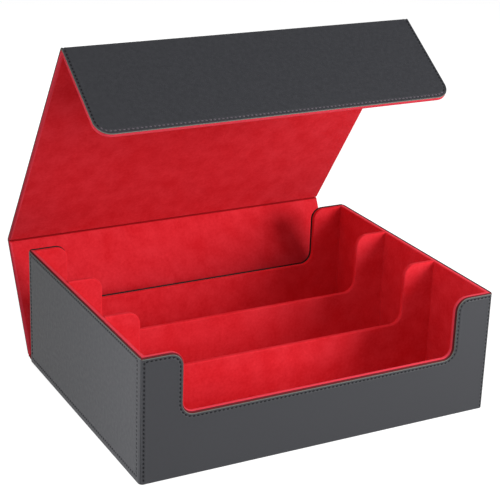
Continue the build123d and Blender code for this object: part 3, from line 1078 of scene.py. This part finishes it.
def stitch_on(seam, start, skew, place_on):
    """The points of a stitch from a distance along its seam, and the way it lies."""
    share = np.linspace(0, 1, SECTIONS)
    at, way = along_path(seam, start + share * STITCH)
    across = np.column_stack([-way[:, 1], way[:, 0]])
    at = at + across * ((share - 0.5) * skew)[:, None]
    arch = np.sin(math.pi * share)
    turn = np.arange(AROUND) * 2 * math.pi / AROUND
    points = []
    for s in range(SECTIONS):
        wide = THREAD_W * (NARROW_END + WIDENS * arch[s])
        flat = at[s] + across[s] * (np.cos(turn) * wide)[:, None]
        rise = LIFT * arch[s] ** ROUNDNESS - DEPTH + THREAD_H * np.sin(turn)
        points += list(place_on(flat, rise))
    return points, way[0]


print("a stitch has", len(TUBE), "faces")

# %% [markdown]
# The rows were noted while the leathercloth was made, each with a function that puts its
# points on the sheet. No two stitches lie quite alike, so each gets its own small skew from
# a seeded generator, the same ones in every run. All the stitches of one sheet are one piece.

# %% Stitches
SKEW, SKEW_VARIES = 0.25, 0.1
rng = np.random.default_rng(11)

for name, body, seams, place_on in seam_rows:
    points, faces, chosen = [], [], []
    for seam in seams:
        length = np.linalg.norm(np.diff(seam, axis=0), axis=1).sum()
        for k in range(int(length / PITCH)):
            start = k * PITCH + (PITCH - STITCH) / 2
            made, way = stitch_on(seam, start, rng.normal(SKEW, SKEW_VARIES), place_on)
            faces += [tuple(len(points) + v for v in face) for face in TUBE]
            points += made
            # The flap's free-edge row takes the pale thread, a painted highlight.
            painted_highlight = name == "flap" and abs(way[0]) > abs(way[1])
            chosen += [int(painted_highlight)] * len(TUBE)
    stitches = mesh_object(f"{name}_stitches", points, faces, threads, chosen)
    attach(stitches, body)
    print(stitches.name, len(faces), "faces")

# %% [markdown]
# The box stands on a plain white floor. Stronger lamps could turn it white, but they would
# bleach the box as well. Here a little emission does it, which only the camera and the
# reflections see, so it adds no diffuse light to the box, and the contact shadow stays.

# %% Floor
FLOOR_SIZE, FLOOR_DROP, GLOW = 12, 0.3, 0.88
bpy.ops.mesh.primitive_plane_add(size=FLOOR_SIZE, location=(0, 0, -FLOOR_DROP * MM))
floor = bpy.context.object
floor.name = "studio_floor"
paper = bpy.data.materials.new("white_studio_paper")
tree = empty_tree(paper)
matt = node(tree, "ShaderNodeBsdfDiffuse", {"Color": linear("#9c9c9c")})
glow = node(tree, "ShaderNodeEmission", {"Color": linear("#ffffff")})
seen = node(tree, "ShaderNodeLightPath")
rays = node(
    tree, "ShaderNodeMath",
    {0: seen.outputs["Is Camera Ray"], 1: seen.outputs["Is Glossy Ray"]},
    operation="MAXIMUM",
)
level = node(tree, "ShaderNodeMath", {0: rays.outputs["Value"], 1: GLOW}, operation="MULTIPLY")
tree.links.new(level.outputs["Value"], glow.inputs["Strength"])
both = node(tree, "ShaderNodeAddShader", {0: matt.outputs["BSDF"], 1: glow.outputs["Emission"]})
node(tree, "ShaderNodeOutputMaterial", {"Surface": both.outputs["Shader"]})
floor.data.materials.append(paper)
print(paper.name, len(tree.nodes), "nodes")

# %% [markdown]
# The light is a studio's: a broad soft lamp at the front right, weaker ones above and behind,
# a small low one at the left for the front wall, and a pale surround. The surround is white
# for the camera and dimmer for the box. A picture of a studio could light it too, but four
# square lamps are easy to fit to the photograph, and no file has to come with the script.

# %% Light
SURROUND = 0.38
world = bpy.data.worlds.new("studio")
scene.world = world
tree = empty_tree(world)
seen = node(tree, "ShaderNodeLightPath")
level = node(
    tree, "ShaderNodeMapRange",
    {"Value": seen.outputs["Is Camera Ray"], "To Min": SURROUND, "To Max": 1.0},
)
sky = node(tree, "ShaderNodeBackground", {"Strength": level.outputs["Result"]})
node(tree, "ShaderNodeOutputWorld", {"Surface": sky.outputs["Background"]})


def lamp(name, place, target, size, power):
    """A square soft lamp at a place, turned to its target, in metres and watts."""
    data = bpy.data.lights.new(name, "AREA")
    data.shape, data.size, data.energy = "SQUARE", size, power
    made = bpy.data.objects.new(name, data)
    made.location = place
    made.rotation_euler = (Vector(target) - Vector(place)).to_track_quat("-Z", "Y").to_euler()
    made.visible_camera = False
    scene.collection.objects.link(made)
    print(name, power, "W")


lamp("left_softbox", (-0.5, -0.1, 0.12), (-0.15, -0.6, 0.0), 0.2, 1.65)
lamp("right_front_softbox", (0.65, -0.75, 0.42), (0, 0, 0.08), 0.5, 9.2)
lamp("top_softbox", (-0.4, -0.5, 0.95), (0, 0, 0.08), 0.6, 2.6)
lamp("rear_softbox", (0.3, 1.1, 0.7), (0, 0.1, 0.1), 0.6, 5)
scene.view_settings.view_transform = "Standard"
